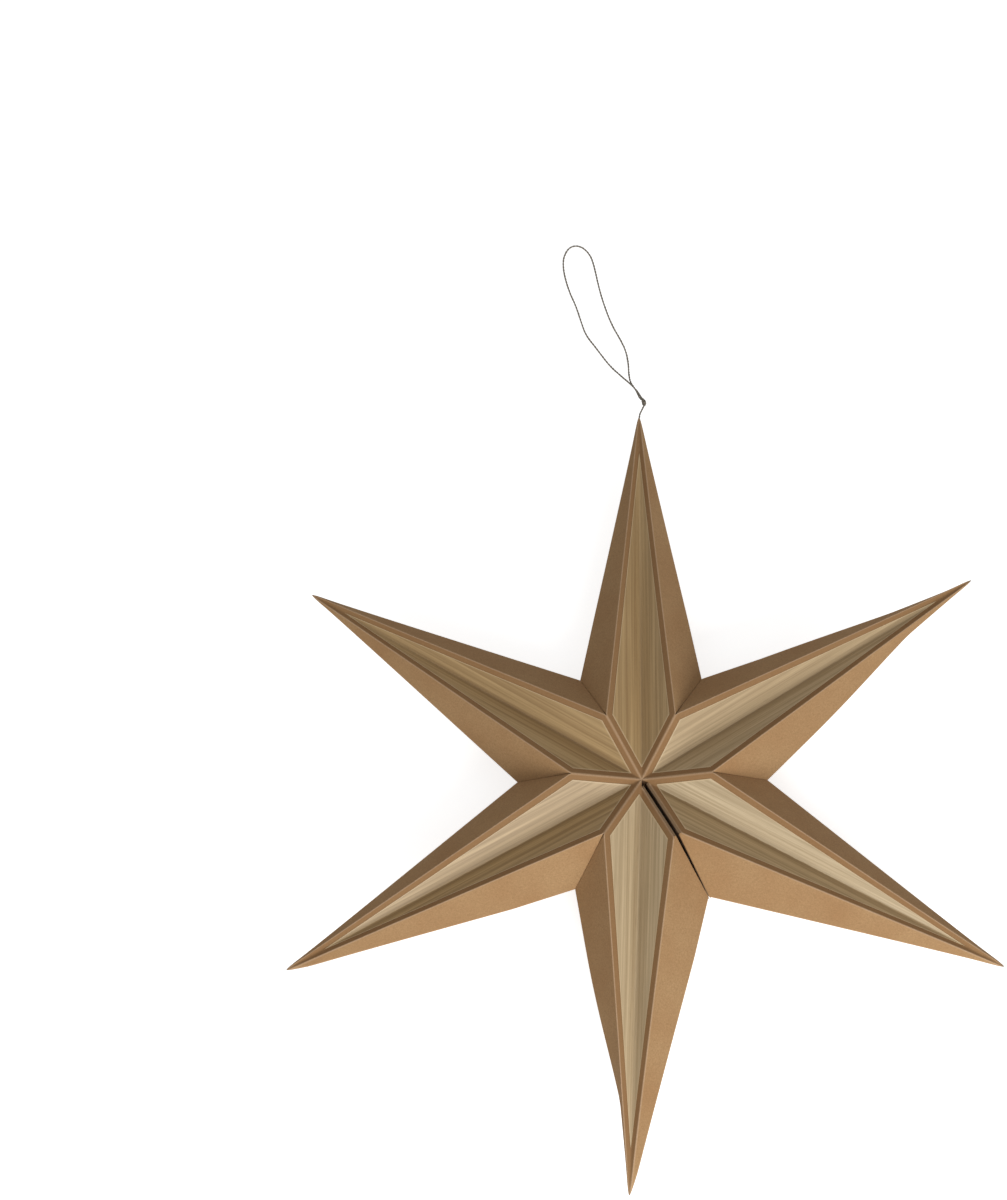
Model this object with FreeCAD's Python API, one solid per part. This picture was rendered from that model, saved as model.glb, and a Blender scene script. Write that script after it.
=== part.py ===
import FreeCAD, Part

import math
import os

# Folded paper star with six hollow arms, opened out from a flat stack like a fan.
# It lies on its back, face up, and its hanging twine lies on the same surface.
# Millimetres. The origin is on that surface under the star's axis. +Z runs out of
# the star's face, and +Y towards the arm that carries the twine.

V = FreeCAD.Vector

# Star outline, seen from the front
TIP_RADIUS = 225.0
NOTCH_RADIUS = 71.0
SHOULDER_RADIUS = 39.2

# Relief, above and below the plane of the tips
SHOULDER_HEIGHT = 25.0
CENTRE_HEIGHT = 12.5

# The six arms are pitched a little under 60 degrees, because the two ends of the
# fan stay slightly apart. Arm 1 is the first one anticlockwise of that seam.
ARM_COUNT = 6
ARM_PITCH = 59.0
TWINE_ARM = 3
TWINE_ARM_ANGLE = 90.0
# Folding by hand leaves each tip a fraction of a degree off its arm's middle, and the
# point of the first arm is a little short
TIP_LEANS = (0.2, 0.9, -0.2, 0.0, -0.4, 0.6)
FIRST_TIP_SHORT = 3.5

# Kraft card, and the tabs by which neighbouring arms are glued together
CARD = 0.4
GLUE_TAB = 7.0

# Wood-veneer facing, set back from the ridges by a bare border of card
FACING = 0.25
BORDER = 3.3

# The seam: a greyboard on each end of the fan, held together by disc magnets
SEAM_GAP = 2.0
END_BOARD = 1.2
MAGNET_DIAMETER = 10.0
MAGNET_RADII = (20.0, 48.0)

# Twine and its overhand knot
TWINE = 1.0
TWINE_SEAT = 4.0
KNOT_DIAMETER = 2.8
KNOT_END = 2.2
KNOT_LENGTH = 5.4
KNOT_CENTRE = V(3.8, 237.0, 18.0)
KNOT_AXIS = V(-0.128, 0.846, -0.513).normalize()
STRAND_SPACING = 1.2
STRAND_START = 4.0
ARC_SHARE = 0.45

MIDDLE = SHOULDER_HEIGHT
UP = V(0, 0, 1)
ORIGIN = V(0, 0, 0)


def polar(radius, degrees, height):
    """Point at a radius and angle about the star's axis, above the plane of the tips."""
    angle = math.radians(degrees)
    return V(radius * math.cos(angle), radius * math.sin(angle), MIDDLE + height)


def plane_through(a, b, c, inside):
    """Plane through three points, with its normal pointing away from the point inside."""
    normal = (b - a).cross(c - a).normalize()
    if normal.dot(inside - a) > 0:
        normal = normal * -1
    return normal, normal.dot(a)


def moved(plane, distance):
    """The same plane, moved along its normal."""
    normal, offset = plane
    return normal, offset + distance


def meet(first, second, third):
    """Point that three planes share."""
    (n1, d1), (n2, d2), (n3, d3) = first, second, third
    point = n2.cross(n3) * d1 + n3.cross(n1) * d2 + n1.cross(n2) * d3
    return point * (1.0 / n1.dot(n2.cross(n3)))


def solid_of(outlines):
    """Closed solid from the outlines of its flat faces."""
    faces = [Part.Face(Part.makePolygon(list(points) + [points[0]])) for points in outlines]
    solid = Part.Solid(Part.makeShell(faces))
    if solid.Volume < 0:
        solid.reverse()
    return solid


def fused(solids):
    """One solid from several that share faces, with no edges left across flat faces."""
    whole = solids[0].fuse(solids[1:]).removeSplitter()
    return whole.Solids[0]


class HalfArm:
    """Planes of one half of an arm, from its valley fold to the face glued to its neighbour."""

    def __init__(self, tip, edge_angle, edge_gap):
        tip_radius, tip_angle = tip
        towards_edge = 1 if edge_angle > tip_angle else -1
        across = polar(1, edge_angle - 90 * towards_edge, 0) - V(0, 0, MIDDLE)
        step = across * edge_gap
        self.tip = polar(tip_radius, tip_angle, 0)
        self.shoulder = polar(SHOULDER_RADIUS, edge_angle, SHOULDER_HEIGHT) + step
        notch = polar(NOTCH_RADIUS, edge_angle, 0) + step
        centre = polar(0, 0, CENTRE_HEIGHT)
        low_shoulder = self.shoulder - UP * (2 * SHOULDER_HEIGHT)
        low_centre = centre - UP * (2 * CENTRE_HEIGHT)
        inside = (self.tip + self.shoulder + low_shoulder + notch) * 0.25
        self.front_panel = plane_through(centre, self.tip, self.shoulder, inside)
        self.back_panel = plane_through(low_centre, self.tip, low_shoulder, inside)
        self.front_wall = plane_through(self.shoulder, notch, self.tip, inside)
        self.back_wall = plane_through(low_shoulder, notch, self.tip, inside)
        self.valley = plane_through(centre, low_centre, self.tip, inside)
        self.ridge = plane_through(self.shoulder, low_shoulder, self.tip, centre)
        self.edge = across * -1, (across * -1).dot(notch)

    def edge_outline(self, inset, setback):
        """Outline of the glued face, with the card's folds moved in by inset."""
        edge = moved(self.edge, -setback)
        panels = moved(self.front_panel, -inset), moved(self.back_panel, -inset)
        walls = moved(self.front_wall, -inset), moved(self.back_wall, -inset)
        return [
            meet(panels[0], self.valley, edge),
            meet(panels[0], walls[0], edge),
            meet(walls[0], walls[1], edge),
            meet(walls[1], panels[1], edge),
            meet(panels[1], self.valley, edge),
        ]

    def outside(self):
        """Solid that the card's outer faces enclose."""
        a, s, n, low_s, low_a = self.edge_outline(0, 0)
        t = self.tip
        return solid_of([
            (a, s, t), (s, n, t), (n, low_s, t), (low_s, low_a, t),
            (a, s, n, low_s, low_a), (a, low_a, t),
        ])

    def inside(self):
        """Hollow of the half arm, one card's thickness in from its outer faces."""
        a, s, n, low_s, low_a = self.edge_outline(CARD, CARD)
        level = UP, MIDDLE
        panel = moved(self.front_panel, -CARD)
        wall = moved(self.front_wall, -CARD)
        side = meet(panel, wall, level)
        end = meet(panel, self.valley, level)
        return solid_of([
            (a, s, side, end), (s, n, side), (n, low_s, side), (low_s, low_a, end, side),
            (a, s, n, low_s, low_a), (a, low_a, end),
        ])

    def window(self):
        """Opening inside the glue tabs, through the glued face."""
        outline = self.edge_outline(0, CARD)
        face = Part.Face(Part.makePolygon(outline + [outline[0]]))
        opening = face.makeOffset2D(-GLUE_TAB, 2)
        return opening.extrude(self.edge[0] * (2 * CARD))

    def facing(self):
        """Veneer on the front panel, set back from the ridges by the border."""
        edge = moved(self.edge, -BORDER)
        ridge = moved(self.ridge, -BORDER)
        under = self.front_panel
        over = moved(under, FACING)
        low = [meet(under, self.valley, edge), meet(under, edge, ridge), meet(under, ridge, self.valley)]
        high = [meet(over, self.valley, edge), meet(over, edge, ridge), meet(over, ridge, self.valley)]
        sides = [
            (low[i], low[j], high[j], high[i]) for i, j in ((0, 1), (1, 2), (2, 0))
        ]
        return solid_of([low, high] + sides)


def half_arms():
    """Both halves of each arm, in order from the seam."""
    fan_start = TWINE_ARM_ANGLE - (TWINE_ARM - 0.5) * ARM_PITCH
    seam = fan_start - (360 - ARM_COUNT * ARM_PITCH) / 2
    seam_side = SEAM_GAP / 2 + END_BOARD
    arms = []
    for index, lean in enumerate(TIP_LEANS):
        start = fan_start + index * ARM_PITCH
        end = start + ARM_PITCH
        tip = TIP_RADIUS, (start + end) / 2 + lean
        if index == 0:
            tip = TIP_RADIUS - FIRST_TIP_SHORT, tip[1]
        first = HalfArm(tip, start, 0)
        last = HalfArm(tip, end, 0)
        if index == 0:
            first = HalfArm(tip, seam, seam_side)
        if index == ARM_COUNT - 1:
            last = HalfArm(tip, seam + 360, seam_side)
        arms.append((first, last))
    return arms


def card_arm(halves):
    """One arm: a hollow shell of folded card with glue tabs on both sides."""
    arm = fused([half.outside() for half in halves])
    for half in halves:
        arm = arm.cut(half.inside()).cut(half.window())
    return arm.removeSplitter().Solids[0]


def tip_trimmed(arm, halves):
    """The arm that carries the twine, with its point cut square where the twine comes out."""
    tip = halves[0].tip
    outward = V(tip.x, tip.y, 0).normalize()
    seat = tip - outward * TWINE_SEAT
    cutter = Part.makeCylinder(TWINE_SEAT, 2 * TWINE_SEAT, seat, outward)
    return arm.cut(cutter).Solids[0]


def end_board(half):
    """Greyboard glued on the end of the fan, level with the folds around it."""
    outline = half.edge_outline(0, 0)
    face = Part.Face(Part.makePolygon(outline + [outline[0]]))
    return face.extrude(half.edge[0] * END_BOARD)


def magnet(half, radius):
    """Disc magnet on the outside of an end board, reaching the middle of the seam."""
    outward = half.edge[0]
    along = V(half.shoulder.x, half.shoulder.y, 0)
    along = (along - outward * outward.dot(along)).normalize()
    seat = meet(moved(half.edge, END_BOARD), (along, radius), (UP, MIDDLE))
    return Part.makeCylinder(MAGNET_DIAMETER / 2, SEAM_GAP / 2, seat, outward)


def rounded_path(route, name):
    """Straight runs of a cord's route joined by tangent arcs, with the arcs' radii printed."""
    edges = []
    radii = []
    here = route[0]
    for before, corner, after in zip(route, route[1:], route[2:]):
        into = corner - before
        out = after - corner
        turn = into.getAngle(out)
        reach = ARC_SHARE * min(into.Length, out.Length)
        radius = reach / math.tan(turn / 2)
        into.normalize()
        out.normalize()
        inward = (out - into).normalize()
        arc_start = corner - into * reach
        arc_end = corner + out * reach
        crest = corner + inward * (radius / math.cos(turn / 2) - radius)
        edges.append(Part.LineSegment(here, arc_start).toShape())
        edges.append(Part.Arc(arc_start, crest, arc_end).toShape())
        radii.append(round(radius, 1))
        here = arc_end
    edges.append(Part.LineSegment(here, route[-1]).toShape())
    path = Part.Wire(edges)
    print(name, "length", round(path.Length, 1), "arc radii", radii)
    return path


def twine_along(route, name):
    """Round twine that follows a route."""
    path = rounded_path(route, name)
    start = (route[1] - route[0]).normalize()
    end = Part.Wire(Part.makeCircle(TWINE / 2, route[0], start))
    twine = path.makePipeShell([end], True, True)
    section = math.pi * TWINE ** 2 / 4
    print(name, "volume against section x length", round(twine.Volume / (section * path.Length), 4))
    return twine.Solids[0]


def knot():
    """Overhand knot as one barrel, with a flat end where each strand leaves it."""
    half = KNOT_LENGTH / 2
    waist = KNOT_DIAMETER / 2
    neck = KNOT_END / 2
    profile = Part.Wire([
        Part.LineSegment(V(0, 0, -half), V(neck, 0, -half)).toShape(),
        Part.Arc(V(neck, 0, -half), V(waist, 0, 0), V(neck, 0, half)).toShape(),
        Part.LineSegment(V(neck, 0, half), V(0, 0, half)).toShape(),
        Part.LineSegment(V(0, 0, half), V(0, 0, -half)).toShape(),
    ])
    barrel = Part.Face(profile).revolve(ORIGIN, UP, 360)
    barrel.Placement = FreeCAD.Placement(KNOT_CENTRE, FreeCAD.Rotation(UP, KNOT_AXIS))
    return barrel


# The twine's ends come out of the arm's tip together and are knotted above it
def tail_route(tip):
    """From the trimmed tip to the near end of the knot."""
    outward = V(tip.x, tip.y, 0).normalize()
    knot_near = KNOT_CENTRE - KNOT_AXIS * (KNOT_LENGTH / 2)
    return [
        tip - outward * TWINE_SEAT,
        tip,
        V(2.6, 228.8, 23.6),
        knot_near - KNOT_AXIS * 3.0,
        knot_near,
    ]


# Two strands leave the knot side by side, part, and meet again round the loop's top
def loop_route():
    """From the far end of the knot, up the left side, round and back down the right."""
    knot_far = KNOT_CENTRE + KNOT_AXIS * (KNOT_LENGTH / 2)
    aside = KNOT_AXIS.cross(UP).normalize() * (STRAND_SPACING / 2)
    lead = KNOT_AXIS * STRAND_START
    floor = TWINE / 2
    left_side = [
        V(-1.2, 248.3, 10.0),
        V(-3.9, 253.8, 5.8),
        V(-9.4, 261.2, 1.2),
        V(-16.6, 268.6, floor),
        V(-25.6, 282.0, floor),
        V(-31.6, 290.4, floor),
        V(-34.2, 298.4, floor),
        V(-37.6, 310.2, floor),
        V(-41.4, 319.2, floor),
        V(-44.0, 328.0, floor),
    ]
    top = [
        V(-45.6, 336.0, floor),
        V(-45.6, 344.5, floor),
        V(-41.6, 351.8, floor),
        V(-34.8, 352.2, floor),
        V(-28.6, 345.8, floor),
        V(-26.0, 336.5, floor),
    ]
    right_side = [
        V(-23.5, 323.2, floor),
        V(-20.3, 310.8, floor),
        V(-15.5, 296.8, floor),
        V(-10.4, 286.9, floor),
        V(-6.9, 279.8, floor),
        V(-5.5, 271.0, floor),
        V(-4.7, 262.0, 1.8),
        V(-2.6, 254.4, 5.8),
        V(0.0, 248.9, 10.0),
    ]
    start = knot_far - aside
    end = knot_far + aside
    return [start, start + lead] + left_side + top + right_side + [end + lead, end]


def main():
    os.makedirs("parts", exist_ok=True)
    nodes = {}
    arms = half_arms()
    mid_plane = V(0, 0, MIDDLE)
    for number, halves in enumerate(arms, 1):
        arm = card_arm(halves)
        if number == TWINE_ARM:
            arm = tip_trimmed(arm, halves)
        facing = fused([half.facing() for half in halves])
        nodes[f"arm_{number}"] = arm
        nodes[f"front_facing_{number}"] = facing
        nodes[f"back_facing_{number}"] = facing.mirror(mid_plane, UP)
    seam_halves = arms[0][0], arms[-1][1]
    for side, half in enumerate(seam_halves, 1):
        nodes[f"end_board_{side}"] = end_board(half)
        for pair, radius in enumerate(MAGNET_RADII, 1):
            nodes[f"closure_magnet_{side}_{pair}"] = magnet(half, radius)
    twine_tip = arms[TWINE_ARM - 1][0].tip
    nodes["twine_tail"] = twine_along(tail_route(twine_tip), "twine_tail")
    nodes["twine_knot"] = knot()
    nodes["hanging_loop"] = twine_along(loop_route(), "hanging_loop")
    for name, shape in nodes.items():
        shape.exportStep(f"parts/{name}.step")
        print(name, "valid" if shape.isValid() else "NOT VALID", "solids", len(shape.Solids),
              "volume", round(shape.Volume, 1))


main()
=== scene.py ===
# %% [markdown]
# # A folded paper star with wood facings
#
# This lesson dresses a folded star ornament. It is made of six hollow arms of kraft card,
# each with a sheet of real wood veneer glued into its long valley, and it hangs from a
# loop of flax twine. The star lies face up on a white table.
#
# The construction model gives the frame: what carries what, and every real size. Blender
# adds what the hand and the eye know: folds that are not quite sharp, card that bows a
# little, grain, fibres, and soft light from one side.

# %% Load the frame
import math

import bmesh
import bpy
import numpy as np
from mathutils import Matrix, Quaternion, Vector


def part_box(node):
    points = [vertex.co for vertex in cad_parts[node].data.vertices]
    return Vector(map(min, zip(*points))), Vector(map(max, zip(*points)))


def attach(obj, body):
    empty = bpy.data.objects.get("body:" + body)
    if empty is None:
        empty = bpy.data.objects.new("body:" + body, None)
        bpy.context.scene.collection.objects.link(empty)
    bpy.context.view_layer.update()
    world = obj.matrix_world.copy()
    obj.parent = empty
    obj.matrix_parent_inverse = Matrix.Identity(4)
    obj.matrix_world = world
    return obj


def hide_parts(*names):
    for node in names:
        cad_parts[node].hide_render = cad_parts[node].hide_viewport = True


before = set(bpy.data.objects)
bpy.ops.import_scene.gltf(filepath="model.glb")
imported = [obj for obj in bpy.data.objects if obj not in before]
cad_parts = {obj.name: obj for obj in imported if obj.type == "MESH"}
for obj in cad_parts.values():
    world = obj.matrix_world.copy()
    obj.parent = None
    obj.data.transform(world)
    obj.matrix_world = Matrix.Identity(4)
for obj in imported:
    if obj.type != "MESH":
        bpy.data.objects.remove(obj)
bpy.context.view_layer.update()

MM = 0.001

# %% [markdown]
# ## The camera
#
# The camera looks down on the star from a steep angle, with the twine away from it. A
# long lens keeps the arms nearly parallel, as a product photographer would have it. We
# say where the camera stands, which point it looks at and how far it is rolled, because
# those three are easy to picture and to change.

# %% Camera
CAMERA_PLACE = Vector((0.0104, -0.2770, 1.2155))
CAMERA_LOOKS_AT = Vector((-0.0795, 0.1109, 0.0250))
CAMERA_ROLL = math.radians(13.23)
LENS = 64.46

camera = bpy.data.objects.new("camera", bpy.data.cameras.new("camera"))
camera.data.lens = LENS
camera.location = CAMERA_PLACE
sight = CAMERA_LOOKS_AT - CAMERA_PLACE
camera.rotation_mode = "QUATERNION"
camera.rotation_quaternion = (
    Quaternion(sight.normalized(), CAMERA_ROLL) @ sight.to_track_quat("-Z", "Y")
)
bpy.context.scene.collection.objects.link(camera)
bpy.context.scene.camera = camera
print("camera:", round(sight.length, 3), "m from the point that it looks at")

# %% [markdown]
# ## Two small mesh helpers
#
# Everything on the star is a sheet or a strand, so most meshes are grids: rows of points
# that are joined to the next row. We collect points and faces in plain lists, make the
# mesh once, and let bmesh weld the points that two grids share.

# %% Mesh helpers
WELD = 0.002 * MM
SHARP_OVER = 40
NEVER_SHARP = 180


def grid_faces(rows, columns, first=0, closed=False):
    """Quads between the rows of a grid whose points are numbered row by row."""
    starts = [first + row * columns for row in range(rows)]
    across = [(c, (c + 1) % columns) for c in range(columns if closed else columns - 1)]
    return [(a + c, a + d, b + d, b + c) for a, b in zip(starts, starts[1:]) for c, d in across]


def make_piece(name, stands_for, points, faces, values=None, sharp_over=SHARP_OVER):
    """Mesh object in metres from points in millimetres, with named values on its points.

    It takes the place of the construction pieces that it stands for, and hides them.
    """
    mesh = bpy.data.meshes.new(name)
    mesh.from_pydata([tuple(p) for p in np.asarray(points) * MM], [], faces)
    for label, data in (values or {}).items():
        data = np.asarray(data, np.float32)
        kind, field = ("FLOAT_VECTOR", "vector") if data.ndim == 2 else ("FLOAT", "value")
        mesh.attributes.new(label, kind, "POINT").data.foreach_set(field, data.ravel())
    work = bmesh.new()
    work.from_mesh(mesh)
    bmesh.ops.remove_doubles(work, verts=work.verts, dist=WELD)
    bmesh.ops.recalc_face_normals(work, faces=work.faces)
    for face in work.faces:
        face.smooth = True
    for edge in work.edges:
        flat_enough = edge.calc_face_angle(math.pi) < math.radians(sharp_over)
        edge.smooth = len(edge.link_faces) == 2 and flat_enough
    open_edges = sum(len(edge.link_faces) != 2 for edge in work.edges)
    work.to_mesh(mesh)
    work.free()
    piece = bpy.data.objects.new(name, mesh)
    bpy.context.scene.collection.objects.link(piece)
    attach(piece, "root")
    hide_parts(*stands_for)
    print(name, "points", len(mesh.vertices), "faces", len(mesh.polygons),
          "open edges", open_edges)
    return piece


# %% [markdown]
# ## The hanging twine
#
# The twine is one length of flax: out of the top arm's point, through an overhand knot,
# round the loop and back into the knot. Limp twine keeps small uneven bends, so its route
# is a list of given points, close to the construction model's. Beyond the knot its
# two strands run half a turn round each other before they part. One NURBS spline smooths it.

# %% The twine's route
TWINE = 1.0
CURVE_STEPS = 10
TWINE_STEP = 0.3
ON_TABLE = TWINE / 2
KNOT_LENGTH = 5.4
STRAND_SPACING = 1.1
KNOT_CENTRE = np.array((3.8, 237.0, 18.0))
KNOT_AXIS = np.array((-0.128, 0.846, -0.513))
KNOT_AXIS /= np.linalg.norm(KNOT_AXIS)
ASIDE = np.cross(KNOT_AXIS, (0, 0, 1))
ASIDE *= STRAND_SPACING / 2 / np.linalg.norm(ASIDE)
RISE = np.cross(ASIDE, KNOT_AXIS)

knot_near = KNOT_CENTRE - KNOT_AXIS * KNOT_LENGTH / 2
knot_far = KNOT_CENTRE + KNOT_AXIS * KNOT_LENGTH / 2
tail = [(0.77, 221.0, 25.0), (0.79, 225.0, 25.0), (2.1, 229.3, 23.0), knot_near]
together = np.array([(1.9, 241.2, 14.6), (0.2, 246.0, 12.0), (-2.1, 250.9, 9.0), (-4.9, 255.6, 6.2)])
crossing = np.radians((20, 70, 120, 165))[:, None]
offsets = ASIDE * np.cos(crossing) + RISE * np.sin(crossing)
coming_down = [(-11.6, 263.0, 2.6)]
lying = [(x, y, ON_TABLE) for x, y in (
    (-17.0, 269.5), (-21.6, 276.0), (-25.6, 282.0), (-31.6, 290.4), (-34.2, 298.4),
    (-37.6, 310.2), (-41.4, 319.2), (-44.0, 328.0), (-45.6, 336.0), (-45.6, 344.5),
    (-41.6, 351.8), (-34.8, 352.2), (-28.6, 345.8), (-26.0, 336.5), (-23.5, 323.2),
    (-20.3, 310.8), (-15.5, 296.8), (-10.0, 286.4), (-6.9, 279.0),
)]
going_up = [(-5.5, 270.6, 0.9), (-5.3, 262.3, 3.0)]
twine_route = [
    *tail, knot_far + ASIDE, *(together + offsets), *coming_down, *lying, *going_up,
    *(together - offsets)[::-1], knot_far - ASIDE,
]


def smooth_line(route):
    """Points of the NURBS spline that has a route's points as its control points."""
    curve = bpy.data.curves.new("route", "CURVE")
    curve.dimensions = "3D"
    spline = curve.splines.new("NURBS")
    spline.points.add(len(route) - 1)
    for point, place in zip(spline.points, route):
        point.co = (*(c * MM for c in place), 1)
    spline.order_u = 3
    spline.use_endpoint_u = True
    spline.resolution_u = CURVE_STEPS
    holder = bpy.data.objects.new("route", curve)
    mesh = bpy.data.meshes.new_from_object(holder)
    line = np.array([v.co for v in mesh.vertices]) / MM
    bpy.data.objects.remove(holder)
    bpy.data.curves.remove(curve)
    bpy.data.meshes.remove(mesh)
    return line


def respaced(line, step):
    """The same line with points an even step apart, and their distances along it."""
    along = np.concatenate([[0], np.cumsum(np.linalg.norm(np.diff(line, axis=0), axis=1))])
    at = np.linspace(0, along[-1], max(2, round(along[-1] / step) + 1))
    return np.stack([np.interp(at, along, line[:, k]) for k in range(3)], axis=1), at


twine_line, twine_at = respaced(smooth_line(twine_route), TWINE_STEP)
print("twine: centreline", round(twine_at[-1], 1), "mm")

# %% [markdown]
# ## Twisting the plies
#
# Flax twine of this size is two yarns laid round each other. We carry a small frame along
# the line without letting it spin, turn the two yarns about it once every few
# millimetres, and skin each with rings. Flax yarn is uneven, so its thickness swells and
# thins along its length. Where a yarn would dip into the table it is pressed flat instead.
# Each point stores its place along the yarn and round it, for the fibres of its finish.

# %% Twine mesh
TWIST = 4.2
PLIES = 2
PLY = 0.70
PLY_OFFSET = 0.21
RING = 8
SWELL_LENGTH = 3.0
SWELL = 0.14
YARN_SHIFT = 5.0
PRESSED_TO = 0.02
ROUGHLY_UP = (0.3, 0.2, 1)
rng = np.random.default_rng(7)


def carried_frame(line):
    """Two directions across a line at each of its points, carried along without spin."""
    ahead = np.gradient(line, axis=0)
    ahead /= np.linalg.norm(ahead, axis=1)[:, None]
    side = np.cross(ahead[0], ROUGHLY_UP)
    sides = []
    for direction in ahead:
        side = side - direction * side.dot(direction)
        side = side / np.linalg.norm(side)
        sides.append(side)
    sides = np.array(sides)
    return sides, np.cross(ahead, sides)


def swelling(at):
    """Smooth random swell about 1 along a yarn."""
    knots = np.arange(at[0], at[-1] + 2 * SWELL_LENGTH, SWELL_LENGTH)
    return 1 + SWELL * np.interp(at, knots, rng.uniform(-1, 1, len(knots)))


def yarn(line, at, radius):
    """Points, faces and stored places of a round yarn along a line, closed at both ends."""
    side, up = carried_frame(line)
    turn = np.linspace(0, 2 * math.pi, RING, endpoint=False)
    ring = side[:, None] * np.cos(turn)[None, :, None] + up[:, None] * np.sin(turn)[None, :, None]
    points = (line[:, None] + ring * radius[:, None, None]).reshape(-1, 3)
    faces = grid_faces(len(line), RING, closed=True)
    faces += [tuple(range(RING)), tuple(range(len(points) - RING, len(points)))]
    lay = np.zeros((len(points), 3))
    lay[:, 0] = np.repeat(at, RING)
    lay[:, 1] = np.tile(turn, len(line))
    return points, faces, lay


def twisted(line, at):
    """Yarns laid round each other along a line."""
    side, up = carried_frame(line)
    points, faces, lay = [], [], []
    for ply in range(PLIES):
        angle = 2 * math.pi * (at / TWIST + ply / PLIES)
        away = side * np.cos(angle)[:, None] + up * np.sin(angle)[:, None]
        own_points, own_faces, own_lay = yarn(line + away * PLY_OFFSET, at, PLY / 2 * swelling(at))
        first = sum(map(len, points))
        faces += [tuple(i + first for i in face) for face in own_faces]
        points.append(own_points)
        lay.append(own_lay + (0, 0, YARN_SHIFT * ply))
    return np.concatenate(points), faces, {"lay": np.concatenate(lay) * (MM, 1, MM)}


points, faces, lay = twisted(twine_line, twine_at)
points[:, 2] = np.maximum(points[:, 2], PRESSED_TO)
hanging_twine = make_piece("hanging_twine", ["twine_tail", "hanging_loop"],
                           points, faces, lay, NEVER_SHARP)

# %% [markdown]
# ## The knot
#
# Pulled tight, an overhand knot looks like a small barrel: the strand wraps about three
# times round its own standing part and tucks under itself. We could tie it along its true
# path, but at this size only the barrel shows. So we follow the wrap with a helix that
# swells in the middle and wanders a little, and twist the same yarns along it.

# %% Knot
WRAPS = 3.1
WRAP_RADIUS = 0.95
WRAP_REACH = 2.2
WRAP_TAPER = 0.55
WRAP_WANDER = 0.35
WRAP_POINTS = 120
WRAP_STEP = 0.2

turns = np.linspace(0, 1, WRAP_POINTS)
side, up = carried_frame(np.array([knot_near, KNOT_CENTRE, knot_far]))
swell = WRAP_RADIUS * (WRAP_TAPER + (1 - WRAP_TAPER) * np.sin(math.pi * turns) ** 0.5)
spin = 2 * math.pi * WRAPS * turns
slant = WRAP_REACH * (2 * turns - 1) + WRAP_WANDER * np.sin(spin)
wrap = (
    KNOT_CENTRE + KNOT_AXIS * slant[:, None]
    + side[1] * (swell * np.cos(spin))[:, None] + up[1] * (swell * np.sin(spin))[:, None]
)
points, faces, lay = twisted(*respaced(wrap, WRAP_STEP))
overhand_knot = make_piece("overhand_knot", ["twine_knot"],
                           points, faces, lay, NEVER_SHARP)

# %% [markdown]
# ## The folds of an arm
#
# Seen from the front an arm is a long letter M: a valley down its middle, a ridge on each
# side, and a wall from each ridge down to the fold on the star's middle plane. All of its
# folds run to the tip, so half an arm is a cone: an outline on the face that is glued to
# the neighbour, drawn to a point. Planes are the easiest way to say where its folds, its
# border and its edges meet. The sizes are those of the construction model, except that the
# notch at the seam stands out further. The tips lean by part of a degree, as glued tips do.
#
# Each half of an arm also has a habit, which its low fold gets later on: the share of its
# distance from the arm's axis by which it is pinched in, and how far it stands out.

# %% Sizes of the star
TIP_RADIUS = 225.0
FIRST_TIP_SHORT = 3.5
NOTCH_RADIUS = 71.0
SHOULDER_RADIUS = 39.2
SHOULDER_HEIGHT = 25.0
CENTRE_HEIGHT = 12.5
MIDDLE = SHOULDER_HEIGHT
ARM_COUNT = 6
ARM_PITCH = 59.0
TWINE_ARM = 3
TIP_LEANS = (0.2, 0.9, -0.2, 0.0, -0.4, 0.6)
SEAM_GAP = 2.0
END_BOARD = 1.2
SEAM_SIDE = SEAM_GAP / 2 + END_BOARD
SEAM_NOTCH_RADIUS = 74.5
SEAM_NOTCH_SIDE = 0.6
BORDER = 3.3
TIP_BORDER = 2.3
VENEER = 0.25
UP = np.array((0.0, 0.0, 1.0))
STRAIGHT = (0.0, 0.0)
HABITS = {(2, 0): (0.27, 0.0), (2, 1): (0.10, -0.8), (3, 0): (0.0, 0.3), (3, 1): (0.0, 0.1),
          (5, 1): (0.0, 1.4), (6, 0): (0.38, 0.0), (6, 1): (0.0, 1.1)}


def polar(radius, degrees, height):
    """Point at a radius, angle and height, all from the star's axis and its middle plane."""
    angle = math.radians(degrees)
    return np.array((radius * math.cos(angle), radius * math.sin(angle), height))


def plane_through(a, b, c):
    """Plane through three points, as its normal and its distance from the origin."""
    normal = np.cross(b - a, c - a)
    normal /= np.linalg.norm(normal)
    return normal, normal @ a


def meet(*planes):
    """Point that three planes share."""
    return np.linalg.solve([n for n, _ in planes], [d for _, d in planes])


# %% Fold lines


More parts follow.
